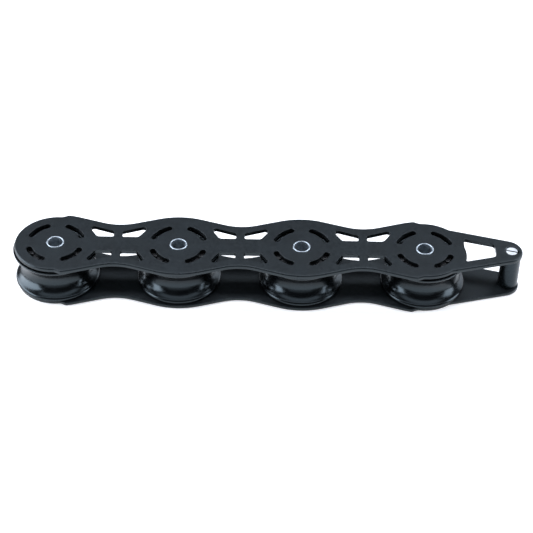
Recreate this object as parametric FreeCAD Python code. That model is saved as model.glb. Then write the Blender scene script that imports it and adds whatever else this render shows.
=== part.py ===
import FreeCAD, Part
import math
import os

# Rope deck organizer: four rope sheaves in a row between two scalloped plates.
# Millimetres. +X runs from the round end to the nose, +Z is up, and Z = 0 is the deck.
# The origin is under the middle of the whole length.

# Layout of the row
SHEAVE_COUNT = 4
SHEAVE_CLEARANCE = 26.0

# Plates
PLATE_THICKNESS = 2.8
PLATE_EDGE_CHAMFER = 0.7
END_SETBACK = 1.1
LOBE_COVER = 1.2
WAIST_INSET = 8.1
LOBE_RADIUS = 47.8
WAIST_RADIUS = 35.5
TOP_SHOULDER_X = 6.2
BASE_SHOULDER_X = 8.2
SHOULDER_RUN = 4.4
SHOULDER_TIP_FILLET = 1.6
SHOULDER_FOOT_FILLET = 3.0
NOSE_TIP_REACH = 66.8
NOSE_RADIUS = 11.1
NOSE_KINK_ANGLE = 50.8
NOSE_KINK_FILLET = 5.0

# Arc slots in the top plate, four round each axle
SLOT_MID_RADIUS = 18.4
SLOT_WIDTH = 3.0
SLOT_HALF_ANGLE = 22.5

# Windows in the top plate: four at each waist, one in the nose
WEB_HALF_WIDTH = 2.9
SPINE_HALF_WIDTH = 7.3
WINDOW_HEEL_X = 14.2
WINDOW_WEB_Y = 13.0
WINDOW_TIP_X = 22.2
WINDOW_TIP_Y = 19.9
WINDOW_TIP_FILLET = 2.2
WINDOW_CORNER_FILLET = 1.3
WINDOW_HEEL_FILLET = 3.0
NOSE_WINDOW_START = 27.3
NOSE_WINDOW_TIP_DISTANCE = 18.5
NOSE_WINDOW_WIDE_HALF = 11.8
NOSE_WINDOW_NARROW_HALF = 6.2
NOSE_WINDOW_WIDE_FILLET = 1.0
NOSE_WINDOW_NARROW_FILLET = 3.0

# Hollow axles, which the deck bolts pass through
AXLE_RADIUS = 6.0
AXLE_BORE_RADIUS = 5.0
AXLE_RIM_PROUD = 0.6
AXLE_RIM_CHAMFER = 0.35
PLATE_FIT = 0.02

# Sheaves
SHEAVE_RADIUS = 29.0
GROOVE_BOTTOM_RADIUS = 21.5
GROOVE_RUNS = 8
SHEAVE_HEIGHT = 24.6
SHEAVE_RIM_HEIGHT = 2.0
SIDE_GAP = 0.9

# Bearings: a hub and a full ring of rollers inside each sheave
HUB_RADIUS = 12.95
HUB_BORE_FIT = 0.03
ROLLER_RADIUS = 3.0
ROLLER_FLATS = 12
ROLLER_RUNNING_GAP = 0.05
ROLLER_COUNT = 16
ROLLER_END_GAP = 0.3

# Nose post and its slotted countersunk screw
POST_RADIUS = 6.8
SCREW_TIP_DISTANCE = 7.5
SCREW_RADIUS = 2.5
SCREW_FIT = 0.05
SCREW_HEAD_RADIUS = 4.4
SCREW_HEAD_INSET = 0.4
SCREW_END_INSET = 0.3
SCREW_SLOT_WIDTH = 0.9
SCREW_SLOT_DEPTH = 1.0
SCREW_SLOT_TURN = -14.0

# Two points or heights closer than this are the same
SAME_PLACE = 1e-4

# Places that follow from the sizes above
PITCH = 2 * SHEAVE_RADIUS + SHEAVE_CLEARANCE
WAIST_HALF_WIDTH = SHEAVE_RADIUS - WAIST_INSET
END_RADIUS = SHEAVE_RADIUS - END_SETBACK
LOBE_HALF_WIDTH = SHEAVE_RADIUS + LOBE_COVER
TOTAL_LENGTH = SHEAVE_RADIUS + (SHEAVE_COUNT - 1) * PITCH + NOSE_TIP_REACH
FIRST_AXLE_X = SHEAVE_RADIUS - TOTAL_LENGTH / 2
AXLE_X = [FIRST_AXLE_X + k * PITCH for k in range(SHEAVE_COUNT)]
LAST_AXLE_X = AXLE_X[-1]
SHEAVE_BOTTOM = PLATE_THICKNESS + SIDE_GAP
SHEAVE_TOP = SHEAVE_BOTTOM + SHEAVE_HEIGHT
TOP_PLATE_BOTTOM = SHEAVE_TOP + SIDE_GAP
TOP_PLATE_TOP = TOP_PLATE_BOTTOM + PLATE_THICKNESS
PLATE_GAP = TOP_PLATE_BOTTOM - PLATE_THICKNESS
ROLLER_PITCH_RADIUS = HUB_RADIUS + ROLLER_RUNNING_GAP + ROLLER_RADIUS
RACE_RADIUS = ROLLER_PITCH_RADIUS + ROLLER_RADIUS + ROLLER_RUNNING_GAP
NOSE_TIP_X = LAST_AXLE_X + NOSE_TIP_REACH
NOSE_SCREW_X = NOSE_TIP_X - SCREW_TIP_DISTANCE

UP = FreeCAD.Vector(0, 0, 1)
CENTRE = FreeCAD.Vector(0, 0, 0)


def point(x, y, z=0.0):
    return FreeCAD.Vector(x, y, z)


def on_circle(x, y, radius, degrees):
    angle = math.radians(degrees)
    return point(x + radius * math.cos(angle), y + radius * math.sin(angle))


def arc(x, y, radius, start, end):
    """An arc about (x, y) from one angle to another, in degrees, through the middle angle."""
    middle = (start + end) / 2
    ends = (on_circle(x, y, radius, angle) for angle in (start, middle, end))
    return Part.Arc(*ends).toShape()


def prism(wire, bottom, height):
    face = Part.Face(wire)
    face.translate(point(0, 0, bottom))
    return face.extrude(point(0, 0, height))


def cylinder(radius, height, x, bottom, y=0.0):
    return Part.makeCylinder(radius, height, point(x, y, bottom), UP)


def turned(points, x):
    """A turned ring: a closed profile of (radius, height) points, spun about the axle at x."""
    corners = [point(radius, 0, height) for radius, height in points]
    profile = Part.makePolygon(corners + corners[:1])
    ring = Part.Face(profile).revolve(CENTRE, UP, 360)
    ring.translate(point(x, 0, 0))
    return ring


def rounded_polygon(corners, radii):
    """A closed outline of straight runs with a round of its own at each corner."""
    edges = []
    count = len(corners)
    starts = []
    for k in range(count):
        before = corners[k - 1]
        corner = corners[k]
        after = corners[(k + 1) % count]
        back = (before - corner).normalize()
        ahead = (after - corner).normalize()
        half = back.getAngle(ahead) / 2
        reach = radii[k] / math.tan(half)
        bisector = (back + ahead).normalize()
        middle = corner + bisector * (radii[k] / math.sin(half) - radii[k])
        starts.append((corner + back * reach, middle, corner + ahead * reach))
    for k in range(count):
        entry, middle, leave = starts[k]
        edges.append(Part.Arc(entry, middle, leave).toShape())
        edges.append(Part.makeLine(leave, starts[(k + 1) % count][0]))
    return Part.Wire(edges)


def vertical_edges_at(solid, places):
    """The upright edges of a plate that stand at the given plan points."""
    found = []
    for edge in solid.Edges:
        box = edge.BoundBox
        upright = box.XLength + box.YLength < SAME_PLACE
        if upright and any(math.hypot(box.XMin - p.x, box.YMin - p.y) < SAME_PLACE for p in places):
            found.append(edge)
    return found


def flank_angle():
    """Lean of the straight run that touches a lobe's arc and the next waist's arc, in degrees."""
    along = PITCH / 2
    across = (WAIST_HALF_WIDTH + WAIST_RADIUS) - (LOBE_HALF_WIDTH - LOBE_RADIUS)
    reach = math.hypot(along, across)
    return math.degrees(math.asin((LOBE_RADIUS + WAIST_RADIUS) / reach) - math.atan2(across, along))


def half_outline(shoulder_x):
    """One long side of a plate, from the round end to the nose tip, with its sharp corners."""
    edges = []
    corners = {"tips": [], "feet": [], "kinks": []}
    lean = flank_angle()
    lobe_y = LOBE_HALF_WIDTH - LOBE_RADIUS
    waist_y = WAIST_HALF_WIDTH + WAIST_RADIUS

    # Round end and its shoulder
    tip_angle = math.degrees(math.acos(shoulder_x / LOBE_RADIUS))
    foot_angle = math.degrees(math.acos((shoulder_x - SHOULDER_RUN) / END_RADIUS))
    first_foot = on_circle(AXLE_X[0], 0, END_RADIUS, foot_angle)
    first_tip = on_circle(AXLE_X[0], lobe_y, LOBE_RADIUS, tip_angle)
    edges.append(arc(AXLE_X[0], 0, END_RADIUS, 180, foot_angle))
    edges.append(Part.makeLine(first_foot, first_tip))

    # Scallops: lobe, flank, waist, flank, and so on
    for k, x in enumerate(AXLE_X):
        is_last = k == SHEAVE_COUNT - 1
        start = tip_angle if k == 0 else 90 + lean
        end = 180 - tip_angle if is_last else 90 - lean
        edges.append(arc(x, lobe_y, LOBE_RADIUS, start, end))
        if is_last:
            continue
        waist_x = x + PITCH / 2
        lobe_end = on_circle(x, lobe_y, LOBE_RADIUS, 90 - lean)
        waist_start = on_circle(waist_x, waist_y, WAIST_RADIUS, 270 - lean)
        waist_end = on_circle(waist_x, waist_y, WAIST_RADIUS, 270 + lean)
        next_lobe = on_circle(x + PITCH, lobe_y, LOBE_RADIUS, 90 + lean)
        edges.append(Part.makeLine(lobe_end, waist_start))
        edges.append(arc(waist_x, waist_y, WAIST_RADIUS, 270 - lean, 270 + lean))
        edges.append(Part.makeLine(waist_end, next_lobe))

    # Second shoulder, the end circle, and the straight taper to the nose
    last_tip = on_circle(LAST_AXLE_X, lobe_y, LOBE_RADIUS, 180 - tip_angle)
    last_foot = on_circle(LAST_AXLE_X, 0, END_RADIUS, 180 - foot_angle)
    nose_x = NOSE_TIP_X - NOSE_RADIUS
    kink = on_circle(LAST_AXLE_X, 0, END_RADIUS, NOSE_KINK_ANGLE)
    sight = kink - point(nose_x, 0)
    sight_angle = math.degrees(math.atan2(sight.y, sight.x))
    touch_angle = sight_angle - math.degrees(math.acos(NOSE_RADIUS / sight.Length))
    nose_touch = on_circle(nose_x, 0, NOSE_RADIUS, touch_angle)
    edges.append(Part.makeLine(last_tip, last_foot))
    edges.append(arc(LAST_AXLE_X, 0, END_RADIUS, 180 - foot_angle, NOSE_KINK_ANGLE))
    edges.append(Part.makeLine(kink, nose_touch))
    edges.append(arc(nose_x, 0, NOSE_RADIUS, touch_angle, 0))

    corners["tips"] = [first_tip, last_tip]
    corners["feet"] = [first_foot, last_foot]
    corners["kinks"] = [kink]
    return edges, corners


def plate_blank(shoulder_x, bottom):
    """A plate with its scalloped outline, before any hole or edge break."""
    edges, corners = half_outline(shoulder_x)
    mirrored = [edge.mirror(CENTRE, point(0, 1, 0)) for edge in edges]
    outline = Part.Wire(Part.__sortEdges__(edges + mirrored))
    plate = prism(outline, bottom, PLATE_THICKNESS)
    rounds = (
        ("tips", SHOULDER_TIP_FILLET),
        ("feet", SHOULDER_FOOT_FILLET),
        ("kinks", NOSE_KINK_FILLET),
    )
    for name, radius in rounds:
        places = corners[name] + [point(p.x, -p.y) for p in corners[name]]
        plate = plate.makeFillet(radius, vertical_edges_at(plate, places))
    return plate


def chamfer_outer_edge(plate, height):
    """Breaks the plate's whole outer edge at one height."""
    for face in plate.Faces:
        box = face.BoundBox
        if box.ZLength < SAME_PLACE and abs(box.ZMin - height) < SAME_PLACE:
            return plate.makeChamfer(PLATE_EDGE_CHAMFER, face.OuterWire.Edges)
    return plate


def arc_slot(x, middle_angle):
    """One kidney-shaped slot with round ends, as a closed outline."""
    start = middle_angle - SLOT_HALF_ANGLE
    end = middle_angle + SLOT_HALF_ANGLE
    half = SLOT_WIDTH / 2
    start_centre = on_circle(x, 0, SLOT_MID_RADIUS, start)
    end_centre = on_circle(x, 0, SLOT_MID_RADIUS, end)
    return Part.Wire([
        arc(x, 0, SLOT_MID_RADIUS + half, start, end),
        arc(end_centre.x, end_centre.y, half, end, end + 180),
        arc(x, 0, SLOT_MID_RADIUS - half, end, start),
        arc(start_centre.x, start_centre.y, half, start + 180, start + 360),
    ])


def waist_window(waist_x, along, across):
    """One of the four windows at a waist; along and across are the signs of its quarter."""
    plan = [
        (WEB_HALF_WIDTH, SPINE_HALF_WIDTH, WINDOW_CORNER_FILLET),
        (WINDOW_HEEL_X, SPINE_HALF_WIDTH, WINDOW_HEEL_FILLET),
        (WINDOW_TIP_X, WINDOW_TIP_Y, WINDOW_TIP_FILLET),
        (WEB_HALF_WIDTH, WINDOW_WEB_Y, WINDOW_CORNER_FILLET),
    ]
    corners = [point(waist_x + along * x, across * y) for x, y, _ in plan]
    return rounded_polygon(corners, [radius for _, _, radius in plan])


def nose_window():
    start = LAST_AXLE_X + NOSE_WINDOW_START
    end = NOSE_TIP_X - NOSE_WINDOW_TIP_DISTANCE
    corners = [
        point(start, -NOSE_WINDOW_WIDE_HALF),
        point(end, -NOSE_WINDOW_NARROW_HALF),
        point(end, NOSE_WINDOW_NARROW_HALF),
        point(start, NOSE_WINDOW_WIDE_HALF),
    ]
    wide = NOSE_WINDOW_WIDE_FILLET
    narrow = NOSE_WINDOW_NARROW_FILLET
    return rounded_polygon(corners, [wide, narrow, narrow, wide])


def screw_profile(end, head_inset, fit):
    """Half section of a countersunk screw, or of its hole, which is larger by a fit all round."""
    head_top = TOP_PLATE_TOP - head_inset
    head_radius = SCREW_HEAD_RADIUS + SCREW_HEAD_INSET - head_inset + fit
    shank_radius = SCREW_RADIUS + fit
    return [
        (0, end),
        (shank_radius, end),
        (shank_radius, head_top - (head_radius - shank_radius)),
        (head_radius, head_top),
        (0, head_top),
    ]


def make_top_plate():
    plate = plate_blank(TOP_SHOULDER_X, TOP_PLATE_BOTTOM)
    plate = chamfer_outer_edge(plate, TOP_PLATE_TOP)
    outlines = [arc_slot(x, 45 + 90 * quarter) for x in AXLE_X for quarter in range(4)]
    for x in AXLE_X[:-1]:
        for along, across in ((-1, -1), (-1, 1), (1, -1), (1, 1)):
            outlines.append(waist_window(x + PITCH / 2, along, across))
    outlines.append(nose_window())
    cuts = [prism(outline, TOP_PLATE_BOTTOM, PLATE_THICKNESS) for outline in outlines]
    for x in AXLE_X:
        cuts.append(cylinder(AXLE_RADIUS + PLATE_FIT, PLATE_THICKNESS, x, TOP_PLATE_BOTTOM))
    cuts.append(turned(screw_profile(TOP_PLATE_BOTTOM, 0, SCREW_FIT), NOSE_SCREW_X))
    return plate.cut(cuts)


def make_base_plate():
    plate = plate_blank(BASE_SHOULDER_X, 0)
    plate = chamfer_outer_edge(plate, 0)
    holes = [cylinder(AXLE_RADIUS + PLATE_FIT, PLATE_THICKNESS, x, 0) for x in AXLE_X]
    holes.append(cylinder(SCREW_RADIUS + SCREW_FIT, PLATE_THICKNESS, NOSE_SCREW_X, 0))
    return plate.cut(holes)


def make_axle(x):
    """Hollow axle through both plates, with a bright rim proud of the top plate."""
    top = TOP_PLATE_TOP + AXLE_RIM_PROUD
    return turned([
        (AXLE_BORE_RADIUS, 0),
        (AXLE_RADIUS, 0),
        (AXLE_RADIUS, top - AXLE_RIM_CHAMFER),
        (AXLE_RADIUS - AXLE_RIM_CHAMFER, top),
        (AXLE_BORE_RADIUS, top),
    ], x)


def make_hub(x):
    """Inner race and spacer: it holds the plates apart and carries the rollers."""
    hub = cylinder(HUB_RADIUS, PLATE_GAP, x, PLATE_THICKNESS)
    return hub.cut(cylinder(AXLE_RADIUS + HUB_BORE_FIT, PLATE_GAP, x, PLATE_THICKNESS))


def groove_points():
    """The rope groove's round section as (radius, height) points, from its lower lip to its upper lip."""
    middle = SHEAVE_BOTTOM + SHEAVE_HEIGHT / 2
    half_mouth = SHEAVE_HEIGHT / 2 - SHEAVE_RIM_HEIGHT
    depth = SHEAVE_RADIUS - GROOVE_BOTTOM_RADIUS
    radius = (half_mouth ** 2 + depth ** 2) / (2 * depth)
    centre_radius = GROOVE_BOTTOM_RADIUS + radius
    half_angle = math.asin(half_mouth / radius)
    angles = [half_angle * (2 * k / GROOVE_RUNS - 1) for k in range(GROOVE_RUNS + 1)]
    return [
        (centre_radius - radius * math.cos(angle), middle + radius * math.sin(angle))
        for angle in angles
    ]


def make_sheave(x):
    """Sheave with a deep rope groove between two rims and a smooth race for the rollers."""
    profile = [
        (SHEAVE_RADIUS, SHEAVE_TOP),
        (RACE_RADIUS, SHEAVE_TOP),
        (RACE_RADIUS, SHEAVE_BOTTOM),
        (SHEAVE_RADIUS, SHEAVE_BOTTOM),
    ]
    return turned(profile + groove_points(), x)


def make_roller_set(x):
    """Full ring of separate rollers round one hub; flats stand in for each round side."""
    bottom = PLATE_THICKNESS + ROLLER_END_GAP
    height = PLATE_GAP - 2 * ROLLER_END_GAP
    corners = [
        on_circle(ROLLER_PITCH_RADIUS, 0, ROLLER_RADIUS, 360.0 * k / ROLLER_FLATS)
        for k in range(ROLLER_FLATS)
    ]
    first = prism(Part.makePolygon(corners + corners[:1]), bottom, height)
    rollers = []
    for k in range(ROLLER_COUNT):
        roller = first.copy()
        roller.rotate(CENTRE, UP, 360.0 * k / ROLLER_COUNT)
        roller.translate(point(x, 0, 0))
        rollers.append(roller)
    return Part.makeCompound(rollers)


def make_nose_post():
    post = cylinder(POST_RADIUS, PLATE_GAP, NOSE_SCREW_X, PLATE_THICKNESS)
    hole = cylinder(SCREW_RADIUS + SCREW_FIT, PLATE_GAP, NOSE_SCREW_X, PLATE_THICKNESS)
    return post.cut(hole)


def make_nose_screw():
    """Slotted countersunk screw, through the top plate and the post into the base plate."""
    screw = turned(screw_profile(SCREW_END_INSET, SCREW_HEAD_INSET, 0), NOSE_SCREW_X)
    head_top = TOP_PLATE_TOP - SCREW_HEAD_INSET
    slot_length = 2 * SCREW_HEAD_RADIUS
    slot = Part.makeBox(
        slot_length, SCREW_SLOT_WIDTH, SCREW_SLOT_DEPTH,
        point(-slot_length / 2, -SCREW_SLOT_WIDTH / 2, head_top - SCREW_SLOT_DEPTH),
    )
    slot.rotate(CENTRE, UP, SCREW_SLOT_TURN)
    slot.translate(point(NOSE_SCREW_X, 0, 0))
    return screw.cut(slot)


def save(name, shape):
    if not shape.isValid():
        raise ValueError(name + " is not a valid solid")
    shape.exportStep("parts/" + name + ".step")
    box = shape.BoundBox
    print(f"{name:24s} solids {len(shape.Solids):2d}  faces {len(shape.Faces):4d}  "
          f"volume {shape.Volume:10.1f}  z {box.ZMin:6.2f} to {box.ZMax:6.2f}")


def main():
    os.makedirs("parts", exist_ok=True)
    save("top_plate", make_top_plate())
    save("base_plate", make_base_plate())
    for number, x in enumerate(AXLE_X, start=1):
        save(f"axle_{number}", make_axle(x))
        save(f"bearing_hub_{number}", make_hub(x))
        save(f"roller_set_{number}", make_roller_set(x))
        save(f"sheave_{number}", make_sheave(x))
    save("nose_post", make_nose_post())
    save("nose_screw", make_nose_screw())


main()
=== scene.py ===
import bpy
import bmesh
import math
from mathutils import Matrix, Vector


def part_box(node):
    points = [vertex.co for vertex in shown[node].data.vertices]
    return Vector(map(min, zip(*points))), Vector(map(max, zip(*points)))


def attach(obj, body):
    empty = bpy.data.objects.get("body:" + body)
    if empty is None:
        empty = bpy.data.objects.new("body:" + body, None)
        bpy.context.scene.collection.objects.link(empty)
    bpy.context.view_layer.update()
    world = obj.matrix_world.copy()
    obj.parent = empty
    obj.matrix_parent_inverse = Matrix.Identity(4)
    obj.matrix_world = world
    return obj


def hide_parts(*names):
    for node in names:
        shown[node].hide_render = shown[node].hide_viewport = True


# Rope deck organizer: four glossy sheaves in a row between two satin black plates, on a white sweep.

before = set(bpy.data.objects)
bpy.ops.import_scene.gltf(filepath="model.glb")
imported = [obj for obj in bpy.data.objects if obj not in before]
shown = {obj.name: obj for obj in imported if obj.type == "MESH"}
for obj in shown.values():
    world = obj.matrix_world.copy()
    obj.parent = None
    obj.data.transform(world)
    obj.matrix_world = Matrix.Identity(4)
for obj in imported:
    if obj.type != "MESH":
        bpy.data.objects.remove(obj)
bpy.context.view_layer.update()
scene = bpy.context.scene
mm = 0.001
count = sum(name.startswith("sheave_") for name in shown)


def middleOf(node):
    low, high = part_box(node)
    return (low + high) / 2


axleX = [middleOf(f"axle_{k + 1}").x / mm for k in range(count)]
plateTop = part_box("top_plate")[1].z / mm
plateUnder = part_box("top_plate")[0].z / mm
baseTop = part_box("base_plate")[1].z / mm
sheaveLow, sheaveHigh = (corner.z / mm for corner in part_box("sheave_1"))
print("frame loaded, axles at", [round(x, 1) for x in axleX])


# Helpers for colours, nodes and meshes

noiseLow, noiseHigh = 0.3, 0.7      # most of a noise's values lie between these


def linearColour(hexColour):
    channels = [int(hexColour[k:k + 2], 16) / 255 for k in (1, 3, 5)]
    return [c / 12.92 if c <= 0.04045 else ((c + 0.055) / 1.055) ** 2.4 for c in channels] + [1.0]


def addNode(tree, kind, sockets=None, **settings):
    node = tree.nodes.new(kind)
    for name, value in settings.items():
        setattr(node, name, value)
    for key, value in (sockets or {}).items():
        if isinstance(value, bpy.types.NodeSocket):
            tree.links.new(value, node.inputs[key])
        else:
            node.inputs[key].default_value = value
    return node


def newMaterial(name):
    material = bpy.data.materials.new(name)
    material.use_nodes = True
    tree = material.node_tree
    tree.nodes.clear()
    place = addNode(tree, "ShaderNodeTexCoord").outputs["Object"]
    return material, tree, place


def closeMaterial(tree, shader):
    addNode(tree, "ShaderNodeOutputMaterial", {"Surface": shader.outputs[0]})


def span(tree, value, low, high):
    # A pattern's 0 to 1 spread over a range of real values
    return addNode(tree, "ShaderNodeMapRange", {
        "Value": value, "From Min": noiseLow, "From Max": noiseHigh,
        "To Min": low, "To Max": high}).outputs["Result"]


def tint(tree, value, dark, light):
    ramp = addNode(tree, "ShaderNodeValToRGB", {"Fac": value})
    for stop, place, hexColour in zip(ramp.color_ramp.elements, (noiseLow, noiseHigh), (dark, light)):
        stop.position = place
        stop.color = linearColour(hexColour)
    return ramp.outputs["Color"]


def grain(tree, place, size, detail=3.0):
    # Noise whose lumps are about size millimetres across
    return addNode(tree, "ShaderNodeTexNoise", {
        "Vector": place, "Scale": 1 / (size * mm), "Detail": detail, "Roughness": 0.55}).outputs["Fac"]


def ringLines(tree, place, spacing):
    # Noise that changes with height alone, so its lines run round an upright piece
    height = addNode(tree, "ShaderNodeSeparateXYZ", {"Vector": place}).outputs["Z"]
    column = addNode(tree, "ShaderNodeCombineXYZ", {"Z": height}).outputs["Vector"]
    return grain(tree, column, spacing, 2.0)


def relief(tree, height, depth):
    return addNode(tree, "ShaderNodeBump", {
        "Height": height, "Distance": depth * mm, "Strength": 1.0}).outputs["Normal"]


# Finishes: sizes are in millimetres

plateFinish = {
    "dark": "#080a0c", "light": "#0f1316", "sheen": "#e6f4fa",
    "roughLow": 0.32, "roughHigh": 0.58,
    "blastSize": 0.9,       # the real grit leaves 0.1 mm dimples, drawn coarser so that they show
    "cloudSize": 14.0,
    "dimpleDepth": 0.08,
}


def beadBlastedAnodised():
    # Black anodised aluminium, bead blasted first: satin, a cool cast, and a sparkle of fine dimples
    look = plateFinish
    material, tree, place = newMaterial("blackAnodisedBeadBlastedAluminium")
    blast = grain(tree, place, look["blastSize"], 4.0)
    cloud = grain(tree, place, look["cloudSize"])
    shader = addNode(tree, "ShaderNodeBsdfPrincipled", {
        "Base Color": tint(tree, cloud, look["dark"], look["light"]),
        "Roughness": span(tree, blast, look["roughLow"], look["roughHigh"]),
        "IOR": 1.5,
        "Specular Tint": linearColour(look["sheen"]),
        "Normal": relief(tree, blast, look["dimpleDepth"]),
    })
    closeMaterial(tree, shader)
    return material


# Painted shade: a darker colour than the plate's, for its walls, chamfers and recess floors; the gloss is the
# milled finish's own
edgeAndShadeFinish = {
    "dark": "#040506", "light": "#090b0c", "sheen": "#d8eaf2",
    "roughLow": 0.26, "roughHigh": 0.34,
    "cutSpacing": 0.6,      # the cutter's fine steps, drawn coarser so that they show
    "cutDepth": 0.002,
    "cloudSize": 5.0,
}


def milledAnodisedWithShade():
    # Black anodised aluminium where the cutter left it: glossier than the blasted face, and darker as painted
    # shade on walls, chamfers and recess floors
    look = edgeAndShadeFinish
    material, tree, place = newMaterial("blackAnodisedMilledAluminiumWithPaintedShade")
    cuts = ringLines(tree, place, look["cutSpacing"])
    cloud = grain(tree, place, look["cloudSize"])
    shader = addNode(tree, "ShaderNodeBsdfPrincipled", {
        "Base Color": tint(tree, cloud, look["dark"], look["light"]),
        "Roughness": span(tree, cloud, look["roughLow"], look["roughHigh"]),
        "IOR": 1.5,
        "Specular Tint": linearColour(look["sheen"]),
        "Normal": relief(tree, cuts, look["cutDepth"]),
    })
    closeMaterial(tree, shader)
    return material


sheaveFinish = {
    "dark": "#030304", "light": "#08090a", "sheen": "#d6ebf5",
    "roughLow": 0.19, "roughHigh": 0.25,
    "flowSize": 7.0,
    "lineSpacing": 0.8,     # moulding lines round the rim
    "lineDepth": 0.002,
}


def mouldedBlackAcetal():
    # Black acetal, moulded and polished by the rope: glossy, with soft flow clouds and faint rings
    look = sheaveFinish
    material, tree, place = newMaterial("glossyBlackMouldedAcetal")
    flow = grain(tree, place, look["flowSize"])
    rings = ringLines(tree, place, look["lineSpacing"])
    shader = addNode(tree, "ShaderNodeBsdfPrincipled", {
        "Base Color": tint(tree, flow, look["dark"], look["light"]),
        "Roughness": span(tree, flow, look["roughLow"], look["roughHigh"]),
        "IOR": 1.48,
        "Specular Tint": linearColour(look["sheen"]),
        "Normal": relief(tree, rings, look["lineDepth"]),
    })
    closeMaterial(tree, shader)
    return material


tubeFinish = {
    "dark": "#9aa4ac", "light": "#c2cbd2",
    "roughLow": 0.42, "roughHigh": 0.50,
    "markSpacing": 0.9,     # tool marks, a tenth of a millimetre on the real tube
    "markDepth": 0.001,
    "stainSize": 3.0,
}

screwFinish = {
    "dark": "#dfe3e8", "light": "#f4f6f8",
    "roughLow": 0.46, "roughHigh": 0.54,
    "markSpacing": 0.9,
    "markDepth": 0.0005,
    "stainSize": 2.0,
}

# Painted shade: near-black steel for the screw's slot, seat flank and the rounds next to them
slotShadeFinish = {
    "dark": "#060708", "light": "#121416",
    "roughLow": 0.46, "roughHigh": 0.56,
    "markSpacing": 0.9,
    "markDepth": 0.0005,
    "stainSize": 1.0,
}


def turnedStainless(name, look):
    # Turned stainless steel: bright, with fine tool marks that run round the axis; given near-black colours
    # it draws painted shade
    material, tree, place = newMaterial(name)
    marks = ringLines(tree, place, look["markSpacing"])
    stain = grain(tree, place, look["stainSize"])
    shader = addNode(tree, "ShaderNodeBsdfPrincipled", {
        "Base Color": tint(tree, stain, look["dark"], look["light"]),
        "Metallic": 1.0,
        "Roughness": span(tree, stain, look["roughLow"], look["roughHigh"]),
        "Normal": relief(tree, marks, look["markDepth"]),
    })
    closeMaterial(tree, shader)
    return material


bearingFinish = {
    "dark": "#101113", "light": "#1a1b1e",
    "roughLow": 0.22, "roughHigh": 0.36,
    "speckSize": 1.5,
    "speckDepth": 0.004,
}


def groundBearingPlastic():
    # Filled bearing plastic, centreless ground: a dull sheen with fine specks
    look = bearingFinish
    material, tree, place = newMaterial("groundBearingPlastic")
    specks = grain(tree, place, look["speckSize"], 4.0)
    shader = addNode(tree, "ShaderNodeBsdfPrincipled", {
        "Base Color": tint(tree, specks, look["dark"], look["light"]),
        "Roughness": span(tree, specks, look["roughLow"], look["roughHigh"]),
        "IOR": 1.5,
        "Normal": relief(tree, specks, look["speckDepth"]),
    })
    closeMaterial(tree, shader)
    return material


postFinish = {
    "dark": "#030405", "light": "#07090a", "sheen": "#b9d3e2",
    "roughLow": 0.24, "roughHigh": 0.32,
    "markSpacing": 0.7,
    "markDepth": 0.003,
}


def turnedAnodised():
    # Black anodised aluminium bar, turned: smoother than the plates, with faint lines round it
    look = postFinish
    material, tree, place = newMaterial("blackAnodisedTurnedAluminium")
    marks = ringLines(tree, place, look["markSpacing"])
    shader = addNode(tree, "ShaderNodeBsdfPrincipled", {
        "Base Color": tint(tree, marks, look["dark"], look["light"]),
        "Roughness": span(tree, marks, look["roughLow"], look["roughHigh"]),
        "IOR": 1.5,
        "Specular Tint": linearColour(look["sheen"]),
        "Normal": relief(tree, marks, look["markDepth"]),
    })
    closeMaterial(tree, shader)
    return material


plateMaterial = beadBlastedAnodised()
sheaveMaterial = mouldedBlackAcetal()
tubeMaterial = turnedStainless("turnedStainlessSteel", tubeFinish)
screwMaterial = turnedStainless("tumbledStainlessSteel", screwFinish)
slotShadeMaterial = turnedStainless("stainlessSteelPaintedShade", slotShadeFinish)    # painted shade: the screw's slot, seat flank and rounds are drawn near black
# painted shade on the plates' walls, chamfers and recess floors
edgeAndShadeMaterial = milledAnodisedWithShade()
bearingMaterial = groundBearingPlastic()
postMaterial = turnedAnodised()
print("finishes ready")


# Turned pieces: a half section is swept round an upright axis

def newTree(name, inputs):
    tree = bpy.data.node_groups.new(name, "GeometryNodeTree")
    tree.interface.new_socket("Section", in_out="INPUT", socket_type="NodeSocketGeometry")
    for label, kind in inputs:
        tree.interface.new_socket(label, in_out="INPUT", socket_type="NodeSocket" + kind)
    tree.interface.new_socket("Piece", in_out="OUTPUT", socket_type="NodeSocketGeometry")
    return tree, addNode(tree, "NodeGroupInput").outputs


def turningTree():
    tree, given = newTree("turnedPiece", [
        ("Sides", "Int"), ("Round Steps", "Int"), ("Path Radius", "Float"),
        ("Centre", "Vector"), ("Finish", "Material")])
    section = addNode(tree, "GeometryNodeMeshToCurve", {"Mesh": given["Section"]})
    edgeRound = addNode(tree, "GeometryNodeInputNamedAttribute", {"Name": "edgeRound"}, data_type="FLOAT")
    rounded = addNode(tree, "GeometryNodeFilletCurve", {
        "Curve": section.outputs["Curve"], "Count": given["Round Steps"],
        "Radius": edgeRound.outputs["Attribute"], "Limit Radius": True}, mode="POLY")
    path = addNode(tree, "GeometryNodeCurvePrimitiveCircle", {
        "Resolution": given["Sides"], "Radius": given["Path Radius"]}, mode="RADIUS")
    swept = addNode(tree, "GeometryNodeCurveToMesh", {
        "Curve": path.outputs["Curve"], "Profile Curve": rounded.outputs["Curve"]})
    outward = addNode(tree, "GeometryNodeFlipFaces", {"Mesh": swept.outputs["Mesh"]})
    placed = addNode(tree, "GeometryNodeTransform", {
        "Geometry": outward.outputs["Mesh"], "Translation": given["Centre"]})
    smooth = addNode(tree, "GeometryNodeSetShadeSmooth", {"Geometry": placed.outputs["Geometry"]})
    real = addNode(tree, "GeometryNodeRealizeInstances", {"Geometry": smooth.outputs["Geometry"]})
    finished = addNode(tree, "GeometryNodeSetMaterial", {
        "Geometry": real.outputs["Geometry"], "Material": given["Finish"]})
    addNode(tree, "NodeGroupOutput", {"Piece": finished.outputs["Geometry"]})
    return tree


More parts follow.
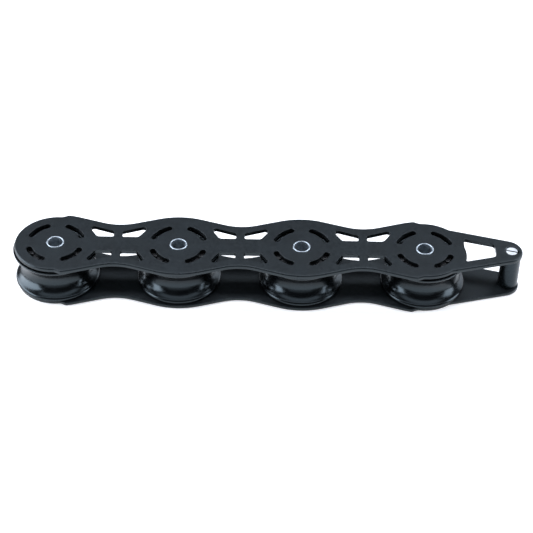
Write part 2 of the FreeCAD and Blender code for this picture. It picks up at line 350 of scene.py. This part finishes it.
def ringTree(turning):
    tree, given = newTree("rollerRing", [
        ("Rollers", "Int"), ("Pitch Radius", "Float"), ("Sides", "Int"), ("Round Steps", "Int"),
        ("Path Radius", "Float"), ("Centre", "Vector"), ("Finish", "Material")])
    roller = addNode(tree, "GeometryNodeGroup", node_tree=turning)
    for label in ("Section", "Sides", "Round Steps", "Path Radius"):
        tree.links.new(given[label], roller.inputs[label])
    ring = addNode(tree, "GeometryNodeMeshCircle", {
        "Vertices": given["Rollers"], "Radius": given["Pitch Radius"]}, fill_type="NONE")
    rollers = addNode(tree, "GeometryNodeInstanceOnPoints", {
        "Points": ring.outputs["Mesh"], "Instance": roller.outputs["Piece"]})
    placed = addNode(tree, "GeometryNodeTransform", {
        "Geometry": rollers.outputs["Instances"], "Translation": given["Centre"]})
    real = addNode(tree, "GeometryNodeRealizeInstances", {"Geometry": placed.outputs["Geometry"]})
    finished = addNode(tree, "GeometryNodeSetMaterial", {
        "Geometry": real.outputs["Geometry"], "Material": given["Finish"]})
    addNode(tree, "NodeGroupOutput", {"Piece": finished.outputs["Geometry"]})
    return tree


turning = turningTree()
ring = ringTree(turning)
pathRadius = 1.0            # the sweep's own circle, inside every section


def sectionMesh(name, section):
    # section is a closed loop of (radius, height, rounding of that corner) in millimetres
    mesh = bpy.data.meshes.new(name)
    # The sweep turns the section over, so its heights go in upside down
    places = [((radius - pathRadius) * mm, -height * mm, 0) for radius, height, _ in section]
    mesh.from_pydata(places, [(k, (k + 1) % len(places)) for k in range(len(places))], [])
    rounds = mesh.attributes.new("edgeRound", "FLOAT", "POINT")
    rounds.data.foreach_set("value", [roundOff * mm for _, _, roundOff in section])
    return mesh


def newMaker(mesh):
    maker = bpy.data.objects.new("maker", mesh)
    scene.collection.objects.link(maker)
    return maker


def keepResult(maker, name):
    # Evens the normals and keeps what the maker's modifiers give, as a plain mesh object
    even = maker.modifiers.new("even", "WEIGHTED_NORMAL")
    even.keep_sharp = True
    graph = bpy.context.evaluated_depsgraph_get()
    result = bpy.data.meshes.new_from_object(
        maker.evaluated_get(graph), preserve_all_data_layers=True, depsgraph=graph)
    result.name = name
    bpy.data.objects.remove(maker)
    piece = bpy.data.objects.new(name, result)
    scene.collection.objects.link(piece)
    return piece


def grownPiece(name, mesh, tree, values):
    maker = newMaker(mesh)
    run = maker.modifiers.new("run", "NODES")
    run.node_group = tree
    for item in tree.interface.items_tree:
        if item.in_out == "INPUT" and item.name in values:
            run[item.identifier] = values[item.name]
    return keepResult(maker, name)


def turnedPiece(name, section, x, finish, sides, steps):
    return grownPiece(name, sectionMesh(name, section), turning, {
        "Sides": sides, "Round Steps": steps, "Path Radius": pathRadius * mm,
        "Centre": (x * mm, 0.0, 0.0), "Finish": finish})


def dress(piece, body, node):
    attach(piece, body)
    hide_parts(node)


# Sheaves

sheave = {
    "rimRadius": 29.0, "grooveRadius": 21.5, "raceRadius": 19.05,
    "rimHeight": 2.0, "rimRound": 0.4, "lipRadius": 2.2, "raceRound": 0.4,
    "grooveSteps": 28, "lipSteps": 8, "roundSteps": 3, "sides": 160,
}


def grooveLine(shape):
    # The groove's round runs into a lip round at each end, which ends on the rim
    middle = (sheaveLow + sheaveHigh) / 2
    halfMouth = (sheaveHigh - sheaveLow) / 2 - shape["rimHeight"]
    depth = shape["rimRadius"] - shape["grooveRadius"]
    radius = (halfMouth ** 2 + depth ** 2) / (2 * depth)
    centre = shape["grooveRadius"] + radius
    lip = shape["lipRadius"]
    lipCentre = shape["rimRadius"] - lip
    reach = math.acos((centre - lipCentre) / (radius + lip))
    rise = (radius + lip) * math.sin(reach)
    parts = range(shape["lipSteps"])
    turns = [reach * k / shape["lipSteps"] for k in parts]
    lower = [(lipCentre + lip * math.cos(t), middle - rise + lip * math.sin(t)) for t in turns]
    steps = shape["grooveSteps"]
    angles = [reach * (2 * k / steps - 1) for k in range(steps + 1)]
    groove = [(centre - radius * math.cos(a), middle + radius * math.sin(a)) for a in angles]
    upper = [(r, 2 * middle - z) for r, z in reversed(lower)]
    return [(r, z, 0.0) for r, z in lower + groove + upper]


sheaveSection = [
    (sheave["rimRadius"], sheaveHigh, sheave["rimRound"]),
    (sheave["raceRadius"], sheaveHigh, sheave["raceRound"]),
    (sheave["raceRadius"], sheaveLow, sheave["raceRound"]),
    (sheave["rimRadius"], sheaveLow, sheave["rimRound"]),
] + grooveLine(sheave)
for k, x in enumerate(axleX, start=1):
    piece = turnedPiece(
        f"groovedSheave_{k}", sheaveSection, x, sheaveMaterial, sheave["sides"], sheave["roundSteps"])
    dress(piece, f"sheave_body_{k}", f"sheave_{k}")
print("sheaves turned")


# Roller rings and hubs

roller = {
    "count": 16, "pitchRadius": 16.0, "radius": 3.0, "endRound": 0.6, "endSteps": 3, "gap": 0.3, "sides": 28,
    "poleRadius": 0.001,    # an end's middle is a hole too small to see, which keeps the sweep clean
}
rollerLow, rollerHigh = baseTop + roller["gap"], plateUnder - roller["gap"]
rollerSection = [
    (roller["poleRadius"], rollerLow, 0.0),
    (roller["radius"], rollerLow, roller["endRound"]),
    (roller["radius"], rollerHigh, roller["endRound"]),
    (roller["poleRadius"], rollerHigh, 0.0),
]
for k, x in enumerate(axleX, start=1):
    piece = grownPiece(f"rollerRing_{k}", sectionMesh("roller", rollerSection), ring, {
        "Rollers": roller["count"], "Pitch Radius": roller["pitchRadius"] * mm,
        "Sides": roller["sides"], "Round Steps": roller["endSteps"], "Path Radius": pathRadius * mm,
        "Centre": (x * mm, 0.0, 0.0), "Finish": bearingMaterial})
    dress(piece, f"roller_body_{k}", f"roller_set_{k}")
    shown[f"bearing_hub_{k}"].data.materials.clear()
    shown[f"bearing_hub_{k}"].data.materials.append(bearingMaterial)
print("roller rings placed")


# Axles

axle = {
    "radius": 6.0, "boreRadius": 5.0, "proud": 0.6, "footRound": 0.2, "rimRound": 0.45,
    "roundSteps": 4, "sides": 96,
}
axleTop = plateTop + axle["proud"]
axleSection = [
    (axle["boreRadius"], 0.0, axle["footRound"]),
    (axle["radius"], 0.0, axle["footRound"]),
    (axle["radius"], axleTop, axle["rimRound"]),
    (axle["boreRadius"], axleTop, axle["rimRound"]),
]
for k, x in enumerate(axleX, start=1):
    piece = turnedPiece(f"axleTube_{k}", axleSection, x, tubeMaterial, axle["sides"], axle["roundSteps"])
    dress(piece, "frame", f"axle_{k}")
print("axles turned")


# Nose post

post = {
    "radius": 6.8, "boreRadius": 2.55, "endRound": 0.35, "boreRound": 0.1, "roundSteps": 3, "sides": 96,
}
postX = middleOf("nose_post").x / mm
postSection = [
    (post["boreRadius"], baseTop, post["boreRound"]),
    (post["radius"], baseTop, post["endRound"]),
    (post["radius"], plateUnder, post["endRound"]),
    (post["boreRadius"], plateUnder, post["boreRound"]),
]
piece = turnedPiece("nosePost", postSection, postX, postMaterial, post["sides"], post["roundSteps"])
dress(piece, "frame", "nose_post")
print("nose post turned")


# Plates and screw: the machined shape with its sharp edges broken

machined = {
    "holeBreak": 0.16, "baseBreak": 0.4, "outerRound": 0.45, "slotBreak": 0.06, "headRound": 0.5,
    "steps": 3,
    "sharpAngle": 110.0, "squareAngle": 70.0, "chamferAngle": 30.0, "flatAngle": 0.6,
    "level": 0.9,           # a face counts as level where its normal's height is more than this
    "sinking": 0.2,         # how far below the top an upward face counts as the floor of a recess, which gets painted shade
    "mergeDistance": 0.001,
}


slots = {
    "midRadius": 18.4, "halfWidth": 1.5, "halfAngle": 22.5,
    "ease": 0.6,            # how far the anodised slot's wall stands back from the solid's
    "wallReach": 1.05,      # a point within this many half widths is on a slot's wall
}


def easeSlots(work):
    # Moves each slot's wall outwards, away from the arc that runs along the slot's middle
    for vert in work.verts:
        for x in axleX:
            spoke = Vector((vert.co.x / mm - x, vert.co.y / mm))
            if abs(spoke.length - slots["midRadius"]) > 2 * slots["halfWidth"]:
                continue
            bearing = math.degrees(math.atan2(spoke.y, spoke.x))
            quarter = 45 + 90 * math.floor(bearing / 90)
            along = max(-slots["halfAngle"], min(slots["halfAngle"], bearing - quarter))
            turn = math.radians(quarter + along)
            away = spoke - Vector((math.cos(turn), math.sin(turn))) * slots["midRadius"]
            if away.length < slots["halfWidth"] * slots["wallReach"]:
                vert.co += away.normalized().to_3d() * slots["ease"] * mm


def softened(node, name, finish, wallShadeFinish, squareWidth, chamferWidth, roundSlot=-1):
    # Square edges, as at the holes, get a small break, and the chamfered outer edge a wider round.
    # Walls, chamfers and recess floors take the second finish, which is painted shade.
    # A round takes its neighbours' finish, or that of roundSlot.
    mesh = shown[node].data.copy()
    work = bmesh.new()
    work.from_mesh(mesh)
    bmesh.ops.remove_doubles(work, verts=work.verts, dist=machined["mergeDistance"] * mm)
    if node == "top_plate":
        easeSlots(work)
    bmesh.ops.dissolve_limit(
        work, angle_limit=math.radians(machined["flatAngle"]), verts=work.verts, edges=work.edges)
    bmesh.ops.recalc_face_normals(work, faces=work.faces)
    top = max(vert.co.z for vert in work.verts)
    for face in work.faces:
        below = face.calc_center_median().z < top - machined["sinking"] * mm
        sunken = below and face.normal.z > machined["level"]
        face.smooth = True
        # painted shade: walls, chamfers and recess floors take the second, darker finish
        face.material_index = int(sunken or abs(face.normal.z) < machined["level"])
    weights = work.edges.layers.float.new("bevel_weight_edge")
    for edge in work.edges:
        turn = math.degrees(edge.calc_face_angle(0))
        if machined["squareAngle"] < turn < machined["sharpAngle"]:
            edge[weights] = squareWidth / chamferWidth
        elif turn > machined["chamferAngle"]:
            edge[weights] = 1.0
    mesh.materials.clear()      # before the faces are written, because it puts them all on the first slot
    mesh.materials.append(finish)
    mesh.materials.append(wallShadeFinish)
    work.to_mesh(mesh)
    work.free()
    maker = newMaker(mesh)
    edge = maker.modifiers.new("edge", "BEVEL")
    edge.width = chamferWidth * mm
    edge.segments = machined["steps"]
    edge.limit_method = "WEIGHT"
    edge.use_clamp_overlap = False
    edge.material = roundSlot
    return keepResult(maker, name)


plates = [("top_plate", "topPlate", "holeBreak"), ("base_plate", "basePlate", "baseBreak")]
for node, name, squareBreak in plates:
    piece = softened(
        node, name, plateMaterial, edgeAndShadeMaterial, machined[squareBreak], machined["outerRound"])
    dress(piece, "frame", node)
# the screw's slot, seat flank and every round take the near-black painted shade
piece = softened(
    "nose_screw", "noseScrew", screwMaterial, slotShadeMaterial,
    machined["slotBreak"], machined["headRound"], roundSlot=1)
dress(piece, "frame", "nose_screw")
print("plates and screw softened")


# Camera at the photograph's viewing angle

camera = {
    "distance": 1100.0, "elevation": 41.17, "azimuth": 0.22, "roll": 0.95,
    "sideways": 18.418, "upwards": 9.9, "focusX": -18.9, "lens": 106.9, "sensorWidth": 36,
}


def makeCamera(view):
    up, side, turn = (math.radians(view[key]) for key in ("elevation", "azimuth", "roll"))
    back = Vector((math.sin(side) * math.cos(up), -math.cos(side) * math.cos(up), math.sin(up)))
    right = Vector((math.cos(side), math.sin(side), 0))
    over = back.cross(right)
    across = right * math.cos(turn) + over * math.sin(turn)
    upright = over * math.cos(turn) - right * math.sin(turn)
    data = bpy.data.cameras.new("photoCamera")
    data.lens = view["lens"]
    data.sensor_width = view["sensorWidth"]
    data.clip_start = 0.05
    data.clip_end = 50
    item = bpy.data.objects.new("photoCamera", data)
    scene.collection.objects.link(item)
    place = back * view["distance"] + across * view["sideways"] + upright * view["upwards"]
    place.x += view["focusX"]
    item.matrix_world = Matrix.Translation(place * mm) @ Matrix((across, upright, back)).transposed().to_4x4()
    scene.camera = item


makeCamera(camera)


# Floor, world and lamps

studio = {
    "floorSize": 12.0, "floorDrop": 0.00005, "floorColour": "#f2f2f2", "floorLift": 0.45,
    "farLift": 1.0, "farStart": 0.7, "farEnd": 1.6,     # past the lamps' reach the floor is white by itself
    "worldColour": "#eef4ff", "worldStrength": 0.05, "lampColour": "#eef4ff",
}


def makeFloor(setup):
    half = setup["floorSize"] / 2
    corners = [(-half, -half), (half, -half), (half, half), (-half, half)]
    mesh = bpy.data.meshes.new("floor")
    mesh.from_pydata([(x, y, -setup["floorDrop"]) for x, y in corners], [], [(0, 1, 2, 3)])
    floor = bpy.data.objects.new("floor", mesh)
    scene.collection.objects.link(floor)
    material, tree, place = newMaterial("paleSweep")
    paper = addNode(tree, "ShaderNodeBsdfDiffuse", {"Color": linearColour(setup["floorColour"])})
    ray = addNode(tree, "ShaderNodeLightPath").outputs
    direct = addNode(tree, "ShaderNodeMath", {
        0: ray["Is Camera Ray"], 1: ray["Is Glossy Ray"]}, operation="MAXIMUM")
    seen = addNode(tree, "ShaderNodeMath", {
        0: direct.outputs[0], 1: ray["Is Transmission Ray"]}, operation="MAXIMUM")
    away = addNode(tree, "ShaderNodeVectorMath", {0: place}, operation="LENGTH")
    white = addNode(tree, "ShaderNodeMapRange", {
        "Value": away.outputs["Value"], "From Min": setup["farStart"], "From Max": setup["farEnd"],
        "To Min": setup["floorLift"], "To Max": setup["farLift"]}, interpolation_type="SMOOTHSTEP")
    lift = addNode(tree, "ShaderNodeMath", {
        0: seen.outputs[0], 1: white.outputs["Result"]}, operation="MULTIPLY")
    glow = addNode(tree, "ShaderNodeEmission", {"Strength": lift.outputs[0]})
    both = addNode(tree, "ShaderNodeAddShader", {0: paper.outputs[0], 1: glow.outputs[0]})
    closeMaterial(tree, both)
    mesh.materials.append(material)


def makeWorld(setup):
    world = bpy.data.worlds.new("studio")
    world.use_nodes = True
    tree = world.node_tree
    tree.nodes.clear()
    sky = addNode(tree, "ShaderNodeBackground", {
        "Color": linearColour(setup["worldColour"]), "Strength": setup["worldStrength"]})
    addNode(tree, "ShaderNodeOutputWorld", {"Surface": sky.outputs[0]})
    scene.world = world


lamps = [
    # name, bearing and height in degrees, distance, width and height in metres, brightness where white is 1
    ("overheadStrip", 90.0, 69.5, 1.7, 3.0, 0.3, 11.6),
    ("frontTopBank", -90.0, 71.0, 1.7, 2.4, 0.7, 1.5),
    ("leftBank", 180.0, 22.0, 1.2, 1.4, 0.7, 8.4),
    ("rightBank", 0.0, 22.0, 1.4, 0.9, 0.8, 6.2),
    ("rightRearBank", 42.0, 20.0, 1.4, 0.8, 0.7, 2.2),
    ("frontStrip", -90.0, 9.0, 1.6, 2.4, 0.45, 0.6),
]


def makeLamp(name, bearing, height, distance, width, tall, level):
    flat, up = math.radians(bearing), math.radians(height)
    place = Vector((math.cos(flat) * math.cos(up), math.sin(flat) * math.cos(up), math.sin(up))) * distance
    data = bpy.data.lights.new(name, "AREA")
    data.shape = "RECTANGLE"
    data.size, data.size_y = width, tall
    data.energy = level * math.pi * width * tall
    data.color = linearColour(studio["lampColour"])[:3]
    item = bpy.data.objects.new(name, data)
    scene.collection.objects.link(item)
    item.location = place
    item.rotation_euler = (-place).to_track_quat("-Z", "Y").to_euler()


makeFloor(studio)
makeWorld(studio)
for lamp in lamps:
    makeLamp(*lamp)
scene.view_settings.view_transform = "Standard"
print("studio ready")
